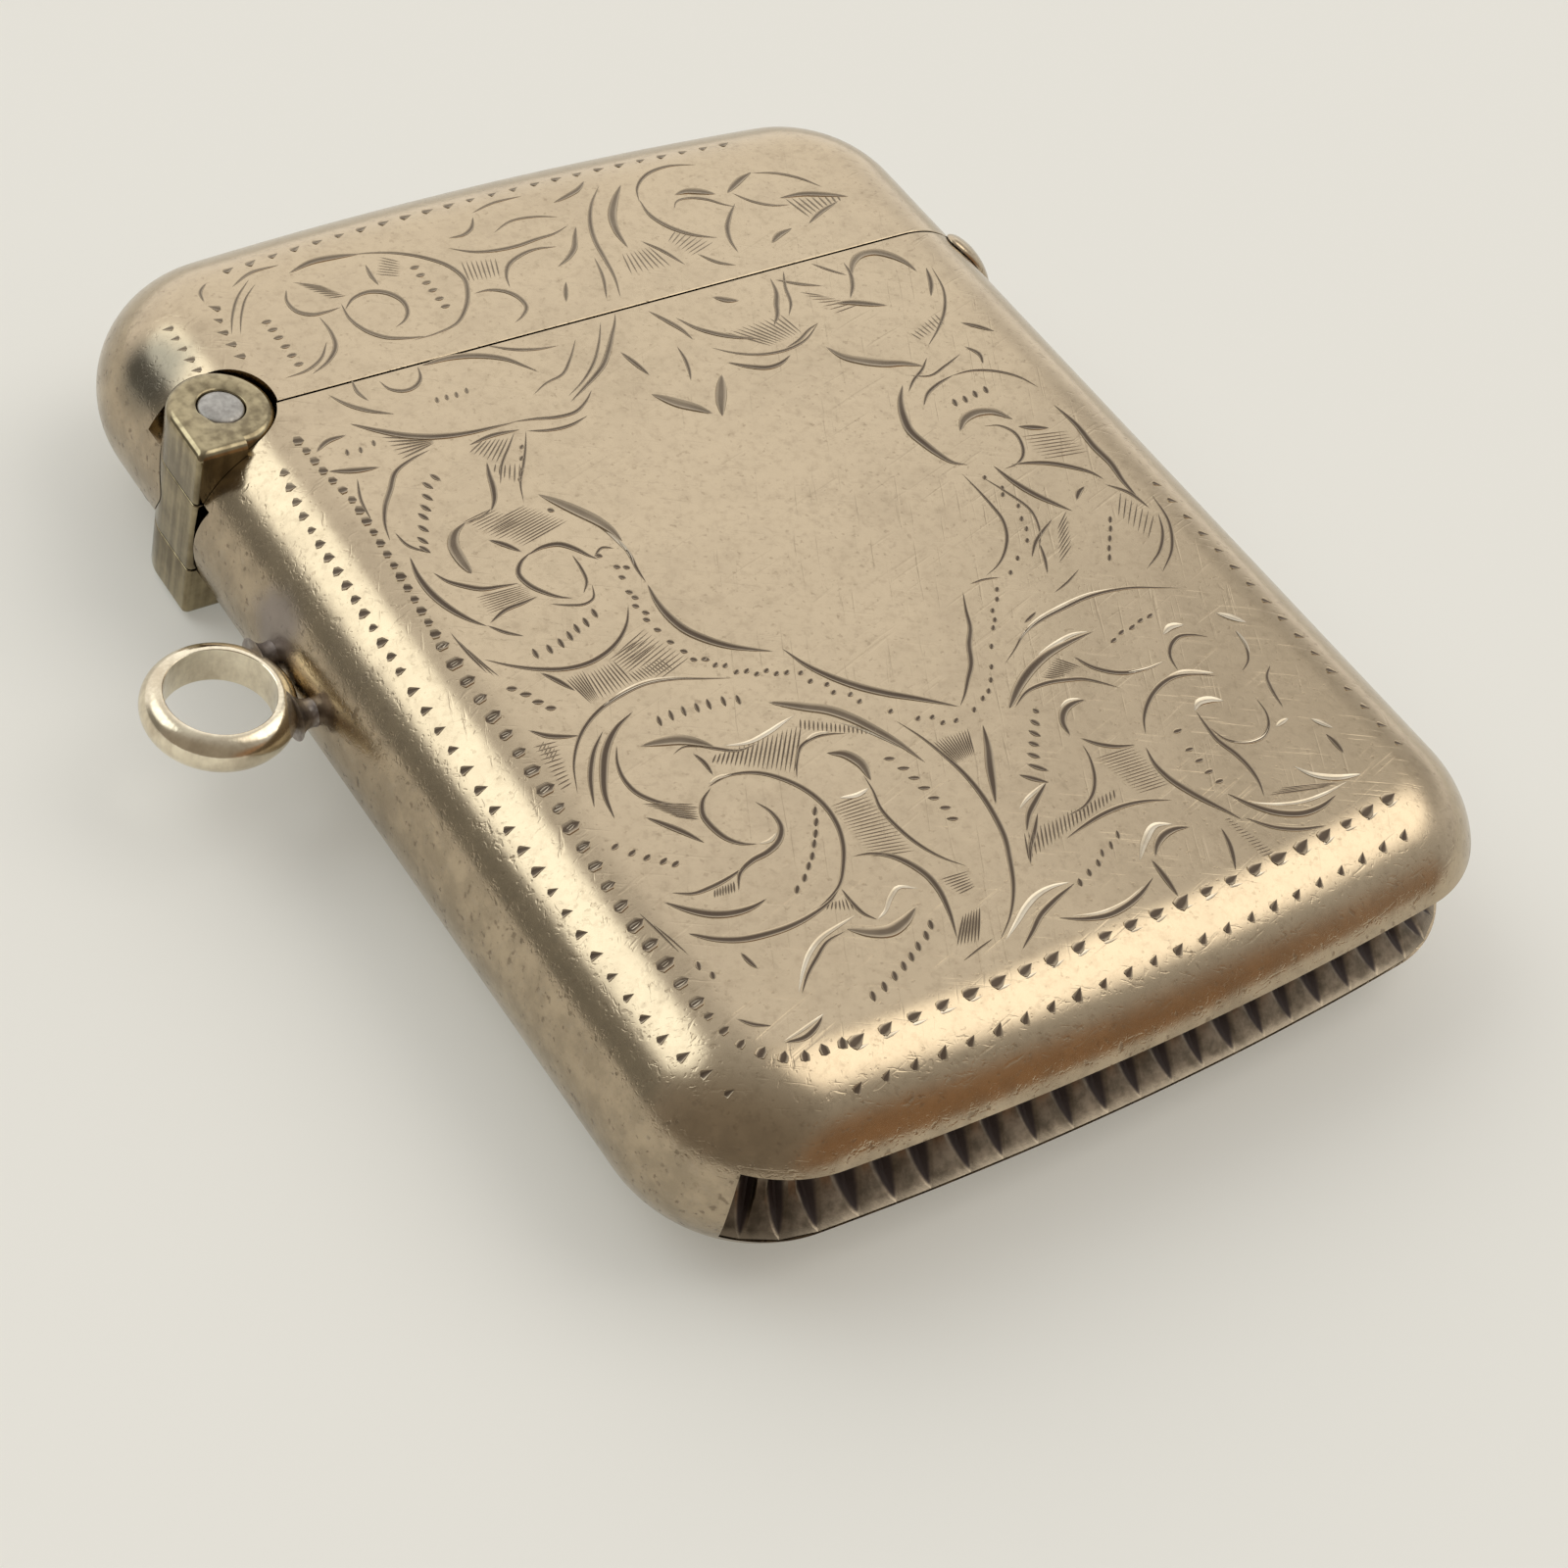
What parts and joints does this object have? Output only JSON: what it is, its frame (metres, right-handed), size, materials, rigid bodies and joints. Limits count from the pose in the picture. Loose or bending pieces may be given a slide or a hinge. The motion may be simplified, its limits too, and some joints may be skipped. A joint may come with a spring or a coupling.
{
  "type": "vesta case",
  "caption": "Flat silver match case with round edges, a sprung lid on a side hinge, a fixed ring for a watch chain and a serrated striker along its foot.",
  "frame": {"origin": "middle of the flat back face, on which the case lies", "axes": "+X to the thumb side (the hinge is at -X), +Y to the lid end (the striker is at -Y), +Z to the front face"},
  "size_m": [0.0414, 0.0456, 0.008],
  "materials": {
    "silver": "worn and tarnished, engraved",
    "hinge_silver": "polished by wear",
    "striker_silver": "cut and tarnished",
    "solder": "dull solder",
    "pin_steel": "matt",
    "spring_steel": "blued"
  },
  "bodies": {
    "case": {"body_front": "silver", "body_back": "silver", "mouth_bezel": "silver", "striker_strip": "striker_silver", "body_knuckle_front": "hinge_silver", "body_knuckle_back": "hinge_silver", "body_bearers": "silver", "hinge_pin": "pin_steel", "lid_spring": "spring_steel", "spring_saddle": "silver", "spring_rivets": "hinge_silver", "chain_ring": "silver", "ring_lugs": "solder"},
    "lid": {"lid_front": "silver", "lid_back": "silver", "lid_knuckle": "hinge_silver", "lid_bearer": "silver", "thumb_piece": "silver"}
  },
  "joints": [
    {"name": "lid_hinge", "type": "hinge", "parent": "case", "child": "lid", "pos_m": [-0.0158, 0.013, 0.004], "axis": [0, 0, 1], "range_deg": [0, 90], "deforming": ["lid_spring"]}
  ]
}
